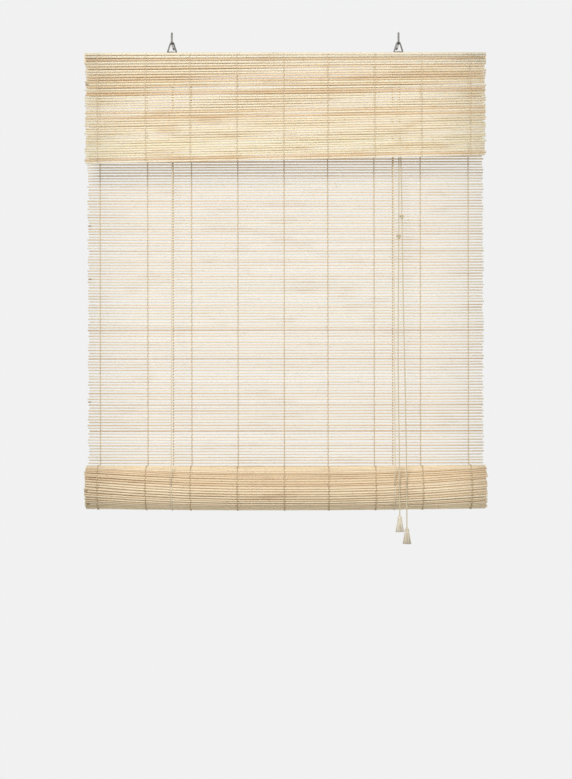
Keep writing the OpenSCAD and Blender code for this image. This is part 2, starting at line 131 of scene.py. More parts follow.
class Finish(Graph):
    # one material around the Principled shader
    def __init__(self, name):
        self.material = bpy.data.materials.new(name)
        self.material.use_nodes = True
        super().__init__(self.material.node_tree)
        self.shader = self.tree.nodes["Principled BSDF"]

    def mix(self, share, first, second, how="MIX"):
        colours = {0: share, 6: first, 7: second}
        return self.node("ShaderNodeMix", {"data_type": "RGBA", "blend_type": how}, colours, out=2)

    def place(self, scale):
        where = self.node("ShaderNodeTexCoord", out=3)
        return self.node("ShaderNodeMapping", {}, {"Vector": where, "Scale": scale})

    def noise(self, vector, scale, detail=2.0, rough=0.5):
        return self.node("ShaderNodeTexNoise", {}, {"Vector": vector, "Scale": scale, "Detail": detail,
                                                    "Roughness": rough})

    def chance(self, value):
        # a random number from 0 to 1 for each value
        return self.node("ShaderNodeTexWhiteNoise", {"noise_dimensions": "1D"}, {"W": value})

    def ramp(self, factor, stops):
        return self.node("ShaderNodeValToRGB", {"stops": stops}, {"Fac": factor})

    def uvParts(self, layer):
        uv = self.node("ShaderNodeUVMap", {"uv_map": layer})
        return [self.node("ShaderNodeSeparateXYZ", {}, {"Vector": uv}, out=k) for k in (0, 1)]

    def bump(self, height, strength, distance):
        return self.node("ShaderNodeBump", {}, {"Height": height, "Strength": strength, "Distance": distance})

    def set(self, **values):
        for key, value in values.items():
            self.feed(self.shader.inputs[key.replace("_", " ")], value)
        return self.material


# Finishes

reedLook = {
    "streak": (5.0, 700.0, 700.0),      # stretched along the reed
    "streakMix": 0.45,
    "blotch": (14.0, 60.0, 60.0),
    "jointSpacing": 0.17,               # metres between the growth joints of a reed
    "jointWidth": 0.011,                # share of that spacing
    "jointMix": 0.35,
    "tipLength": 5 * mm,                # of the dark tip that a few reeds have
    "tipRarity": 0.93,
    "tipMix": 0.7,
    "tipColour": (0.20, 0.12, 0.06, 1),
    "glowReach": 8.0 * mm,
    "glowRadius": (1.0, 0.85, 0.65),
}


def reedFinish(name, glow, tones, jointColour):
    # glow is how much light a reed lets through
    f = Finish(name)
    along, seed = f.uvParts("reedUv")
    pick = f.chance(seed * 913.0)
    other = f.chance(seed * 571.0 + 31.0)
    colour = f.ramp(pick, tones)
    streaks = f.noise(f.place(reedLook["streak"]), 1.0, 3.0, 0.6)
    shade = f.ramp(streaks, [(0.3, (0.60, 0.54, 0.45)), (0.6, (1, 1, 1))])
    colour = f.mix(reedLook["streakMix"], colour, shade, "MULTIPLY")
    blotch = f.noise(f.place(reedLook["blotch"]), 1.0, 2.0, 0.5)
    colour = f.mix(f.ramp(blotch, [(0.56, (0, 0, 0)), (0.74, (0.4, 0.4, 0.4))]), colour, jointColour)
    step = (along * (1 / reedLook["jointSpacing"]) + pick * 7.0) % 1.0
    joint = step < reedLook["jointWidth"]
    colour = f.mix(joint * reedLook["jointMix"], colour, jointColour)
    tip = (along < reedLook["tipLength"]) * (other > reedLook["tipRarity"])
    colour = f.mix(tip * reedLook["tipMix"], colour, reedLook["tipColour"])
    return f.set(Base_Color=colour, Roughness=streaks * 0.24 + 0.48, Normal=f.bump(streaks, 0.35, 0.0004),
                 Subsurface_Weight=glow, Subsurface_Scale=reedLook["glowReach"],
                 Subsurface_Radius=reedLook["glowRadius"])


def threadFinish(name, dark, light):
    f = Finish(name)
    fibre = f.noise(f.place((900.0, 900.0, 500.0)), 1.0, 2.0, 0.6)
    colour = f.ramp(fibre, [(0.3, dark), (0.7, light)])
    return f.set(Base_Color=colour, Roughness=0.85, Normal=f.bump(fibre, 0.5, 0.0003))


braidLook = {
    "pitch": 3.4 * mm,      # along the cord
    "round": 2.0,           # strands of each hand round it
    "fibreMix": 0.35,
}


def cordFinish(name, dark, light):
    f = Finish(name)
    around, along = f.uvParts("cordUv")
    ahead = along * (1 / braidLook["pitch"])
    aside = around * braidLook["round"]
    weave = ((ahead + aside) * math.tau).sine() * ((ahead - aside) * math.tau).sine() * 0.5 + 0.5
    fibre = f.noise(f.place((1500.0, 1500.0, 1500.0)), 1.0, 2.0, 0.6)
    shade = f.ramp(fibre, [(0.3, (0.5, 0.45, 0.38)), (0.7, (1, 1, 1))])
    colour = f.mix(braidLook["fibreMix"], f.mix(weave, dark, light), shade, "MULTIPLY")
    return f.set(Base_Color=colour, Roughness=0.8, Normal=f.bump(weave + fibre * 0.4, 0.6, 0.0003))


def cottonFinish():
    f = Finish("tasselCotton")
    along, seed = f.uvParts("reedUv")
    pick = f.chance(seed * 913.0)
    twist = ((along * 900.0 + pick) * math.tau).sine()
    colour = f.ramp(pick, [(0.0, (0.56, 0.49, 0.37)), (0.5, (0.70, 0.63, 0.50)), (1.0, (0.80, 0.75, 0.63))])
    colour = f.mix((twist * 0.5 + 0.5) * 0.3, colour, (0.45, 0.38, 0.27, 1))
    return f.set(Base_Color=colour, Roughness=0.9, Normal=f.bump(twist, 0.4, 0.0002))


def battenFinish():
    f = Finish("softwood")
    grain = f.noise(f.place((3.0, 90.0, 90.0)), 1.0, 4.0, 0.65)
    bands = {"wave_type": "BANDS", "bands_direction": "DIAGONAL"}
    where = f.place((1.5, 60.0, 60.0))
    rings = f.node("ShaderNodeTexWave", bands,
                   {"Vector": where, "Scale": 1.0, "Distortion": 6.0, "Detail": 3.0}, out=1)
    colour = f.mix(grain * 0.6 + rings * 0.4, (0.64, 0.47, 0.27, 1), (0.86, 0.71, 0.48, 1))
    return f.set(Base_Color=colour, Roughness=grain * 0.25 + 0.5, Normal=f.bump(grain, 0.25, 0.0005))


def wireFinish(name, dark, light):
    f = Finish(name)
    wear = f.noise(f.place((350.0, 350.0, 350.0)), 1.0, 4.0, 0.6)
    colour = f.ramp(wear, [(0.35, dark), (0.7, light)])
    return f.set(Base_Color=colour, Metallic=0.85, Roughness=wear * 0.3 + 0.28,
                 Normal=f.bump(wear, 0.1, 0.0002))


straw = reedFinish("paleReed", 0.4, [(0.0, (0.56, 0.40, 0.25)), (0.12, (0.72, 0.57, 0.41)),
                                     (0.45, (0.82, 0.69, 0.53)), (0.8, (0.86, 0.75, 0.60)),
                                     (1.0, (0.78, 0.69, 0.52))], (0.46, 0.31, 0.17, 1))
honey = reedFinish("warmReed", 0.62, [(0.0, (0.62, 0.44, 0.27)), (0.12, (0.76, 0.57, 0.38)),
                                      (0.45, (0.82, 0.68, 0.485)), (0.8, (0.85, 0.73, 0.545)),
                                      (1.0, (0.78, 0.70, 0.475))], (0.48, 0.31, 0.16, 1))
# The rolled-up part of the same mat gets its own copy of the reed tones, a little warmer and darker than
# paleReed: painted shade of the roll. The spread of tones from reed to reed is the reeds' own.
amberWithPaintedShade = reedFinish("rolledReedWithPaintedShade", 0.2, [(0.0, (0.64, 0.45, 0.27)), (0.12, (0.76, 0.57, 0.36)),
                                       (0.45, (0.83, 0.67, 0.46)), (0.8, (0.87, 0.73, 0.52)),
                                       (1.0, (0.79, 0.68, 0.43))], (0.48, 0.30, 0.16, 1))
warp = threadFinish("warpThread", (0.50, 0.38, 0.22), (0.76, 0.62, 0.42))
# The same warp thread where it lies on the roll, in a darker copy of warpThread's colours: painted shade. The
# fibre mottling is the thread's own.
rolledWarpWithPaintedShade = threadFinish("rolledWarpWithPaintedShade", (0.38, 0.27, 0.14), (0.62, 0.48, 0.29))
liftLine = cordFinish("liftCord", (0.60, 0.50, 0.34, 1), (0.80, 0.71, 0.54, 1))
pullLine = cordFinish("pullCord", (0.40, 0.33, 0.20, 1), (0.66, 0.58, 0.41, 1))
cotton = cottonFinish()
batten = battenFinish()
zinc = wireFinish("zincWire", (0.10, 0.092, 0.085), (0.25, 0.24, 0.225))
brightZinc = wireFinish("brightZinc", (0.46, 0.45, 0.43), (0.70, 0.69, 0.67))
print("finishes ready")


# Mesh helpers

def finishPiece(bm, name, material, body):
    mesh = bpy.data.meshes.new(name)
    for face in bm.faces:
        face.smooth = True
    bm.to_mesh(mesh)
    bm.free()
    mesh.materials.append(material)
    piece = bpy.data.objects.new(name, mesh)
    bpy.context.scene.collection.objects.link(piece)
    if body:
        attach(piece, body)
    return piece


def growRing(bm, edges):
    # extrudes a ring of edges; gives the new ring's vertices and edges, and the side faces
    grown = bmesh.ops.extrude_edge_only(bm, edges=edges)["geom"]
    fresh = [g for g in grown if isinstance(g, bmesh.types.BMVert)]
    faces = [g for g in grown if isinstance(g, bmesh.types.BMFace)]
    sides = [g for g in grown if isinstance(g, bmesh.types.BMEdge)]
    return fresh, [e for e in sides if e.verts[0] in fresh and e.verts[1] in fresh], faces


def newSticks():
    bm = bmesh.new()
    bm.loops.layers.uv.new("reedUv")
    return bm


def stickBlank(name, sides, stretches):
    # straight stick of radius 1 along X from 0 to 1, with a ring at the end of each stretch
    bm = newSticks()
    bmesh.ops.create_circle(bm, cap_ends=False, segments=sides, radius=1.0,
                            matrix=Matrix.Rotation(math.pi / 2, 4, "Y"))
    edges = bm.edges[:]
    for k in range(stretches):
        fresh, edges = growRing(bm, edges)[:2]
        bmesh.ops.translate(bm, verts=fresh, vec=(1 / stretches, 0, 0))
    bmesh.ops.holes_fill(bm, edges=bm.edges[:], sides=sides)
    bmesh.ops.recalc_face_normals(bm, faces=bm.faces[:])
    blank = bpy.data.meshes.new(name)
    bm.to_mesh(blank)
    bm.free()
    return blank


def addStick(bm, blank, seed, length, place):
    # place(share, a, b) gives the point of the stick at that share of its length and ring offset
    firstVert, firstFace = len(bm.verts), len(bm.faces)
    bm.from_mesh(blank)
    bm.verts.ensure_lookup_table()
    bm.faces.ensure_lookup_table()
    layer = bm.loops.layers.uv["reedUv"]
    for face in bm.faces[firstFace:]:
        for loop in face.loops:
            loop[layer].uv = (loop.vert.co.x * length, seed)
    for vert in bm.verts[firstVert:]:
        vert.co = place(vert.co.x, vert.co.y, vert.co.z)


def sweepTube(points, radius, sides):
    # round tube along the points, with the way round it and along it in its UV map
    bm = bmesh.new()
    layer = bm.loops.layers.uv.new("cordUv")
    points = [Vector(p) for p in points]
    last = len(points) - 1
    ways = [(points[min(i + 1, last)] - points[max(i - 1, 0)]).normalized() for i in range(last + 1)]
    turn = ways[0].to_track_quat("Z", "X").to_matrix().to_4x4()
    bmesh.ops.create_circle(bm, cap_ends=False, segments=sides, radius=radius,
                            matrix=Matrix.Translation(points[0]) @ turn)
    edges, run = bm.edges[:], 0.0
    spot = {v: k / sides for k, v in enumerate(bm.verts[:])}
    for i in range(1, last + 1):
        fresh, edges, faces = growRing(bm, edges)
        for vert in fresh:
            partner = next(e.other_vert(vert) for e in vert.link_edges if e.other_vert(vert) in spot)
            spot[vert] = spot[partner]
        step = (points[i] - points[i - 1]).length
        for face in faces:
            around = [spot[v] for v in face.verts]
            wrap = max(around) > 0.999 - 1 / sides and min(around) == 0     # the seam's face
            for loop in face.loops:
                way = spot[loop.vert] + (1.0 if wrap and spot[loop.vert] == 0 else 0.0)
                loop[layer].uv = (way, run + (step if loop.vert in fresh else 0.0))
        spot = {v: spot[v] for v in fresh}
        bend = ways[i - 1].rotation_difference(ways[i]).to_matrix()
        bmesh.ops.rotate(bm, verts=fresh, cent=points[i - 1], matrix=bend)
        bmesh.ops.translate(bm, verts=fresh, vec=points[i] - points[i - 1])
        run += step
    bmesh.ops.holes_fill(bm, edges=bm.edges[:], sides=sides)
    bmesh.ops.recalc_face_normals(bm, faces=bm.faces[:])
    return bm


def strandMesh(name, strands, radius):
    # thin strands as one curve, made a mesh
    curve = bpy.data.curves.new(name, "CURVE")
    curve.dimensions = "3D"
    curve.bevel_depth = radius
    curve.bevel_resolution = 0
    curve.use_fill_caps = True
    for strand in strands:
        spline = curve.splines.new("POLY")
        spline.points.add(len(strand) - 1)
        for point, at in zip(spline.points, strand):
            point.co = (*at, 1)
    holder = bpy.data.objects.new(name + "Curve", curve)
    bpy.context.scene.collection.objects.link(holder)
    mesh = bpy.data.meshes.new_from_object(holder.evaluated_get(bpy.context.evaluated_depsgraph_get()))
    bpy.data.objects.remove(holder)
    bm = bmesh.new()
    bm.from_mesh(mesh)
    bpy.data.meshes.remove(mesh)
    return bm


def dress(material, slot, *names):
    for name in names:
        nodes[name].data.materials.clear()
        nodes[name].data.materials.append(material)


# Camera, at the photograph's place

cameraSpec = {
    "frame": (572, 779),        # pixels
    "sensor": 36.0,
    "distance": 3.0,            # from the hanging mat
    "pixel": 1.513 * mm,        # size of a pixel at the mat
    "axisX": 0.4 * mm,          # place of the picture's middle column
    "axisZ": -518.7 * mm,       # and of its middle row
    "roll": 0.0016,             # radians that the camera leans to its right
}


def makeCamera():
    data = bpy.data.cameras.new("camera")
    data.sensor_fit = "VERTICAL"
    data.sensor_height = cameraSpec["sensor"]
    data.lens = data.sensor_height * cameraSpec["distance"] / (cameraSpec["pixel"] * cameraSpec["frame"][1])
    camera = bpy.data.objects.new("camera", data)
    bpy.context.scene.collection.objects.link(camera)
    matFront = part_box("reed_mat")[0].y
    camera.location = (cameraSpec["axisX"], matFront - cameraSpec["distance"], cameraSpec["axisZ"])
    camera.rotation_euler = (math.pi / 2, cameraSpec["roll"], 0)
    bpy.context.scene.camera = camera


makeCamera()


# Cords

liftTravel = 0.36   # how far the roll goes up at its joint's limit
cordSides = 8
pullSpec = {
    "diameter": 1.6 * mm,
    "knotSize": 1.05 * mm,
    "knotSteps": 28,
    "knotSides": 6,
    "routes": {         # millimetres, from the lock to the front of the roll
        "1": [(172.4, -15.5, -52.6), (172.2, -16.2, -60), (171.6, -19.8, -100), (171, -23.5, -140),
              (170.6, -27.1, -180), (170.2, -30.8, -220), (169.8, -34.4, -260), (169.5, -37.2, -290),
              (169, -40.8, -330), (168.4, -44.5, -370), (167.9, -48.1, -410), (167.5, -51.8, -450),
              (167.4, -55.4, -490), (167.5, -59.1, -530), (167.8, -62.8, -570), (168.2, -66.6, -610),
              (168.4, -69.5, -640), (168.5, -70.6, -650), (168.5, -71.2, -660)],
        "2": [(172.4, -12.5, -52.6), (172.5, -13.2, -60), (172.8, -17.1, -100), (173.3, -21, -140),
              (173.9, -24.8, -180), (174.4, -28.7, -220), (174.7, -32.5, -260), (175, -36.4, -300),
              (175.3, -40.3, -340), (175.7, -44.1, -380), (176.2, -48, -420), (176.8, -51.9, -460),
              (177.4, -55.7, -500), (177.9, -59.6, -540), (178.3, -63.5, -580), (178.7, -67.4, -620),
              (178.9, -69.6, -642), (179, -70.6, -651), (179, -71.2, -660)],
    },
    "knotAt": {"1": 7, "2": 6},     # points of the routes
    "endRise": 2 * mm,              # how far above its solid's foot a hanging cord ends, inside the tassel
}


def cordPiece(points, radius, name, material, body):
    return finishPiece(sweepTube(points, radius, cordSides), name, material, body)


def pathLength(points):
    return sum((Vector(b) - Vector(a)).length for a, b in zip(points, points[1:]))


def knotTube(centre, size, radius):
    # overhand knot, drawn as a trefoil
    loop = []
    for k in range(pullSpec["knotSteps"] + 1):
        a = math.tau * k / pullSpec["knotSteps"]
        loop.append(centre + size * Vector((math.sin(a) + 2 * math.sin(2 * a), -1.2 * math.sin(3 * a),
                                            math.cos(a) - 2 * math.cos(2 * a))))
    return sweepTube(loop, radius, pullSpec["knotSides"])


def squashKeep(top, low):
    # share of a height that is left when its foot has gone up with the roll
    return (top - low - liftTravel) / (top - low)


def makePullCord(number):
    route = [Vector(p) * mm for p in pullSpec["routes"][number]]
    radius = pullSpec["diameter"] / 2
    top = route[0].z
    keep = squashKeep(top, route[-1].z)
    upper = cordPiece(route, radius, "pullCord" + number, pullLine, "head")
    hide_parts("pull_cord_" + number)
    knot = finishPiece(knotTube(route[pullSpec["knotAt"][number]], pullSpec["knotSize"], radius),
                       "pullKnot" + number, pullLine, "head")
    for piece in (upper, knot):
        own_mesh(piece)
    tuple(route[0])
    pathLength(route)

    low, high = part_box("hanging_cord_" + number)
    endZ = low.z + pullSpec["endRise"]
    drop = [Vector((route[-1].x, route[-1].y, high.z + (endZ - high.z) * k / 15)) for k in range(16)]
    lower = cordPiece(drop, radius, "hangingCord" + number, pullLine, None)
    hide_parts("hanging_cord_" + number)
    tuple(drop[0])
    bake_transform(lower)
    tassel = makeTassel(number)
    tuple(drop[0])
    pathLength(drop)


tasselSpec = {
    "strand": 0.55 * mm,
    "rounds": [(30, 1.0), (20, 0.72), (10, 0.4)],    # strands in a round, and its share of the radius
    # millimetres down from the top, and out to the middle of the strands
    "profile": [(0.0, 1.2), (0.6, 2.3), (1.6, 2.9), (4.2, 2.95), (5.0, 2.5), (6.6, 2.5), (7.4, 2.95),
                (14.0, 4.2), (20.0, 5.4), (24.0, 5.9)],
    "uneven": 0.3,              # how far a strand strays, as a share of its step round
    "shortest": 0.94,           # length of the shortest strand
    "sway": 0.25,               # radians
    "neckWraps": 4,
    "neckDepth": 5.0 * mm,
    "neckPitch": 0.55 * mm,
    "neckR": 3.0 * mm,
    "neckTwine": 0.32 * mm,
    "seed": 40,
}


def alongProfile(profile, share):
    # depth and radius at a share of the profile's depth, in metres
    depth = share * profile[-1][0]
    for (d0, r0), (d1, r1) in zip(profile, profile[1:]):
        if depth <= d1:
            return depth * mm, (r0 + (r1 - r0) * (depth - d0) / (d1 - d0)) * mm
    return depth * mm, profile[-1][1] * mm


def makeTassel(number):
    rand = random.Random(tasselSpec["seed"] + int(number))
    low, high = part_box("tassel_" + number)
    centre = Vector(((low.x + high.x) / 2, (low.y + high.y) / 2, high.z))
    thick = tasselSpec["strand"]
    blank = stickBlank("tasselStrand", 5, 8)
    bm = newSticks()
    for count, inner in tasselSpec["rounds"]:
        for k in range(count):
            angle = math.tau * (k + rand.uniform(-tasselSpec["uneven"], tasselSpec["uneven"])) / count
            reach = rand.uniform(tasselSpec["shortest"], 1.0)
            sway = rand.uniform(-tasselSpec["sway"], tasselSpec["sway"])

            def place(share, a, b):
                depth, radius = alongProfile(tasselSpec["profile"], share * reach)
                turn = angle + sway * share * share
                out = Vector((math.cos(turn), math.sin(turn), 0))
                side = Vector((-out.y, out.x, 0))
                return centre + out * (radius * inner + a * thick) + side * b * thick - Vector((0, 0, depth))

            addStick(bm, blank, rand.random(), high.z - low.z, place)
    piece = finishPiece(bm, "tassel" + number, cotton, "tassel_" + number)
    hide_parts("tassel_" + number)

    wraps = []
    neckR = tasselSpec["neckR"]
    for k in range(tasselSpec["neckWraps"]):
        z = centre.z - tasselSpec["neckDepth"] - k * tasselSpec["neckPitch"]
        wraps.append([(centre.x + neckR * math.cos(a), centre.y + neckR * math.sin(a), z)
                      for a in [math.tau * j / 20 for j in range(21)]])
    neck = finishPiece(strandMesh("tasselNeck" + number, wraps, tasselSpec["neckTwine"]),
                       "tasselNeck" + number, cotton, "tassel_" + number)
    neck.parent = piece
    return piece


for number in ("1", "2"):
    makePullCord(number)


def makeLiftCords():
    for side in ("left", "right"):
        low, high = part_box("front_cord_" + side)
        x = (low.x + high.x) / 2
        radius = (high.x - low.x) / 2
        bottom = Vector((x, low.y + radius, low.z))
        top = Vector((x, high.y - radius, high.z))
        run = [bottom.lerp(top, k / 24) for k in range(25)]
        piece = cordPiece(run, radius, "frontCord" + side.capitalize(), liftLine, "head")
        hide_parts("front_cord_" + side)
        squashKeep(top.z, bottom.z)
        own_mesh(piece)

        low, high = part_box("back_cord_" + side)
        centreY = (low.y + high.y) / 2
        loopR = (high.x - low.x) / 2 - radius
        eye = Vector(((low.x + high.x) / 2, centreY, high.z - radius - loopR))
        rise = eye.z - loopR - low.z
        run = [Vector((eye.x, centreY, low.z + rise * k / 24)) for k in range(25)]
        for k in range(1, 17):      # round the tack
            a = math.tau * k / 16
            run.append(eye + loopR * Vector((math.sin(a), 0, -math.cos(a))))
        piece = cordPiece(run, radius, "backCord" + side.capitalize(), liftLine, "head")
        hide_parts("back_cord_" + side)
        squashKeep(eye.z, low.z)
        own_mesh(piece)


makeLiftCords()

guideSpec = {       # millimetres
    "depth": -14,           # of the eyes and the lock
    "eyeLow": -41.66,
    "eyeBend": 1.8,
    "besideEye": 166.1,     # where a cord passes the right eye
    "barX": 169,
    "barZ": -43.21,
    "barBend": 3.35,
    "lockLow": -52.5,
    "cords": {"left": (-170, -1.5, -38.06), "right": (162, 1.5, -39.86)},   # place, shift aside, height
}
slingSpec = {"centre": (-35.725, -665.46), "radius": 33.825, "sweep": 185.1}     # millimetres and degrees


def quarterTurn(start):
    return [start - math.pi / 2 * k / 4 for k in range(5)]


def makeGuidedCords():
    g = guideSpec
    radius = pullSpec["diameter"] / 2
    for side, (x, aside, crossing) in g["cords"].items():
        path = []
        for a in quarterTurn(math.pi):
            path.append((x + g["eyeBend"] * (1 + math.cos(a)), g["depth"],
                         g["eyeLow"] + g["eyeBend"] * math.sin(a)))
        path.append((g["besideEye"], g["depth"] + aside / 2, crossing))
        for a in quarterTurn(math.pi / 2):
            path.append((g["barX"] + g["barBend"] * math.cos(a), g["depth"] + aside,
                         g["barZ"] + g["barBend"] * math.sin(a)))
        path.append((g["barX"] + g["barBend"], g["depth"] + aside, g["lockLow"]))
        run = [Vector(p) * mm for p in path]
        piece = cordPiece(run, radius, "crossCord" + side.capitalize(), liftLine, "head")
        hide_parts("cross_cord_" + side)

        y, z = slingSpec["centre"]
        slingR = slingSpec["radius"]
        run = []
        for k in range(33):
            a = -math.radians(slingSpec["sweep"]) * k / 32
            run.append(Vector((x, y + slingR * math.cos(a), z + slingR * math.sin(a))) * mm)
        piece = cordPiece(run, radius, "sling" + side.capitalize(), liftLine, "slings")
        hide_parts("sling_" + side)


makeGuidedCords()
print("cords and tassels made")


# Reed mats

matSpec = {
    "pitchTop": 4.08 * mm,  # the rows stand closer at the top
    "pitchLow": 4.44 * mm,
    "hem": 0.0,
    "skew": 0.0,
    "fuller": 1.0,
    "pressed": 1.0,
    "reed": 2.6 * mm,
    "thinnest": 0.80,       # share of the reed's thickness
    "endSpread": 3.0 * mm,  # how far reed ends miss the edge
    "wander": 0.22 * mm,    # how far a reed strays from its row
    "waves": 7,             # radians of a reed's bow along its length
    "twine": 0.54 * mm,     # radius of one warp strand
    "strandApart": 0.85 * mm,
    "strandCross": 0.5 * mm,
    "strandJog": 0.15,      # millimetres
    "strandClear": 0.1 * mm,
    "tailRows": 3,          # rows at the foot that lie down on the roll as it winds up
    "tailKeep": 0.86,       # share of their distance from the roll's axis that is left then
    "warps": 9,
    "warpMargin": 20 * mm,
    "warpStray": [-0.5, 1.5, -2, -2, -2, -6, -6, -6, -3.5],    # millimetres off an even spacing
    "seeds": {"reeds": 11, "threads": 12, "tail": 13, "tailThreads": 14},
}
valanceSpec = {
    "pitchTop": 3.95 * mm,
    "pitchLow": 3.50 * mm,
    "hem": 3.5 * mm,        # how far the lowest reed hangs below the solid's edge
    "skew": 6.0 * mm,       # how much higher the right end of the lowest reed is, and the left end lower
    "fuller": 1.36,         # how much wider than thick its reeds are
    "pressed": 1.75,        # the same for the rows that lie on the rail
    "seeds": {"reeds": 21, "threads": 22},
}


def warpPlaces(halfWidth):
    reach = halfWidth - matSpec["warpMargin"]
    return [-reach + 2 * reach * k / (matSpec["warps"] - 1) + matSpec["warpStray"][k] * mm
            for k in range(matSpec["warps"])]


def twinedWarps(rows, halfWidth, point, seed):
    # two strands at each warp, which change sides of the mat between reeds
    rand = random.Random(seed)
    strands = []
    for x in warpPlaces(halfWidth):
        for hand in (-1, 1):
            strand = []
            for row in rows:
                face = hand if row % 2 == 0 else -hand
                jog = rand.uniform(-matSpec["strandJog"], matSpec["strandJog"]) * mm
                strand.append(point(row, 0.0, x + hand * matSpec["strandApart"] + jog, face))
                if row < rows[-1]:
                    strand.append(point(row, 0.5, x - hand * matSpec["strandCross"], 0))
            strands.append(strand)
    return strands


class HangingMat:
    # places of the reeds and threads of a mat that hangs from the rail
    def __init__(self, node, spec):
        low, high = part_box(node)
        railLow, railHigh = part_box("head_rail")
        self.spec = spec
        self.midY = (low.y + high.y) / 2
        self.half = high.x
        self.topZ = railHigh.z
        self.railLow = railLow.z
        height = high.z - low.z + spec["hem"]
        mean = (spec["pitchTop"] + spec["pitchLow"]) / 2
        self.count = round((height + mean - matSpec["reed"]) / mean)

    def depth(self, row):
        # how far down a row lies
        top, low = self.spec["pitchTop"], self.spec["pitchLow"]
        return row * (top + (low - top) * row / self.count / 2)

    def lift(self, row, x):
        # how much a slanted row is raised there
        return self.spec["skew"] * x / self.half * math.sqrt(row / self.count)

    def reeds(self, rows, seed):
        # each with its own thickness, bow and ends
        rand = random.Random(seed)
        blank = stickBlank("reedBlank", 8, 6)
        thick = matSpec["reed"]
        bm = newSticks()
        for row in rows:
            z = self.topZ - self.depth(row + 0.5) + rand.uniform(-1, 1) * matSpec["wander"]
            r0 = thick / 2 * rand.uniform(matSpec["thinnest"], 1.0)
            r1 = thick / 2 * rand.uniform(matSpec["thinnest"], 1.0)
            left = -self.half + rand.uniform(0, matSpec["endSpread"])
            right = self.half - rand.uniform(0, matSpec["endSpread"])
            bow = rand.uniform(-1, 1) * matSpec["wander"]
            phase = rand.uniform(0, math.tau)
            wide = self.spec["pressed"] if z > self.railLow else self.spec["fuller"]

            def place(share, a, b):
                x = left + (right - left) * share
                r = r0 + (r1 - r0) * share
                wave = bow * math.sin(phase + share * matSpec["waves"])
                return Vector((x, self.midY + a * r, z + wave + self.lift(row, x) + b * r * wide))

            addStick(bm, blank, rand.random(), right - left, place)
        return bm

    def threads(self, name, rows, seed):
        clear = matSpec["reed"] / 2 + matSpec["strandClear"]

        def point(row, part, x, face):
            z = self.topZ - self.depth(row + 0.5 + part) + self.lift(row + part, x)
            return (x, self.midY - face * clear, z)

        return strandMesh(name, twinedWarps(rows, self.half, point, seed), matSpec["twine"])


def makeMat():
    mat = HangingMat("reed_mat", matSpec)
    seeds = matSpec["seeds"]
    foot = mat.count - matSpec["tailRows"]
    reeds = finishPiece(mat.reeds(range(foot), seeds["reeds"]), "reedMat", straw, "head")
    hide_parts("reed_mat")
    threads = finishPiece(mat.threads("matThreads", range(foot), seeds["threads"]),
                          "matThreads", warp, "head")
    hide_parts("mat_threads")
    keep = squashKeep(mat.topZ, mat.topZ - mat.depth(foot))
    for piece in (reeds, threads):
        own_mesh(piece)

    tail = finishPiece(mat.reeds(range(foot, mat.count), seeds["tail"]), "matTail", straw, "roll")
    longer = range(foot - 1, mat.count + 1)     # the threads run on past the tail's reeds at both ends
    tailThreads = finishPiece(mat.threads("matTailThreads", longer, seeds["tailThreads"]),
                              "matTailThreads", warp, "roll")
    for piece in (tail, tailThreads):
        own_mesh(piece)


def makeValance():
    valance = HangingMat("valance", valanceSpec)
    seeds = valanceSpec["seeds"]
    rows = range(valance.count)
    reeds = finishPiece(valance.reeds(rows, seeds["reeds"]), "valanceReeds", honey, "head")
    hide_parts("valance")
    threads = finishPiece(valance.threads("valanceThreads", rows, seeds["threads"]),
                          "valanceThreads", warp, "head")
    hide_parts("valance_threads")


makeMat()
makeValance()
print("hanging mat and valance made")


# Roll

rollSpec = {
    "turnPitch": 3.1 * mm,
    "outerR": 32.2 * mm,     # middle of the outer turn's reeds
    "innerR": 8.6 * mm,
    "smile": 0.50,           # radians that the reeds' ends lie further round than their middle
    "smilePower": 1.5,
    "straight": 0.30,        # share of the half width that stays straight
    "endSpread": 4.5 * mm,
    "pitch": 3.7 * mm,
    "fuller": 1.14,          # how much wider than thick the pressed reeds are
    "thinnest": 0.86,
    "thickest": 1.03,
    "skew": 0.045,           # radians that a reed's ends differ
    "stray": 0.014,          # radians that a reed lies off its place
    "nest": 1.7 * mm,        # how deep the second turn lies in the gaps of the outer one
    "hold": 2.5,             # how long the outer turn keeps its radius before it dips under its start
    "innerSpread": 1.05,     # how far the inner turns spread to follow it
    "bow": 2.4 * mm,         # how much higher the roll's ends lie than its middle
    "bowLevel": 0.55,        # share of the half width, at the lift cords, where the bow is level
    "easeIn": 1.2,           # radians from the hanging mat until the ends lie fully further round
    "twine": 0.66 * mm,
    "strandClear": 0.3 * mm,
    "seeds": {"reeds": 31, "threads": 32},
}


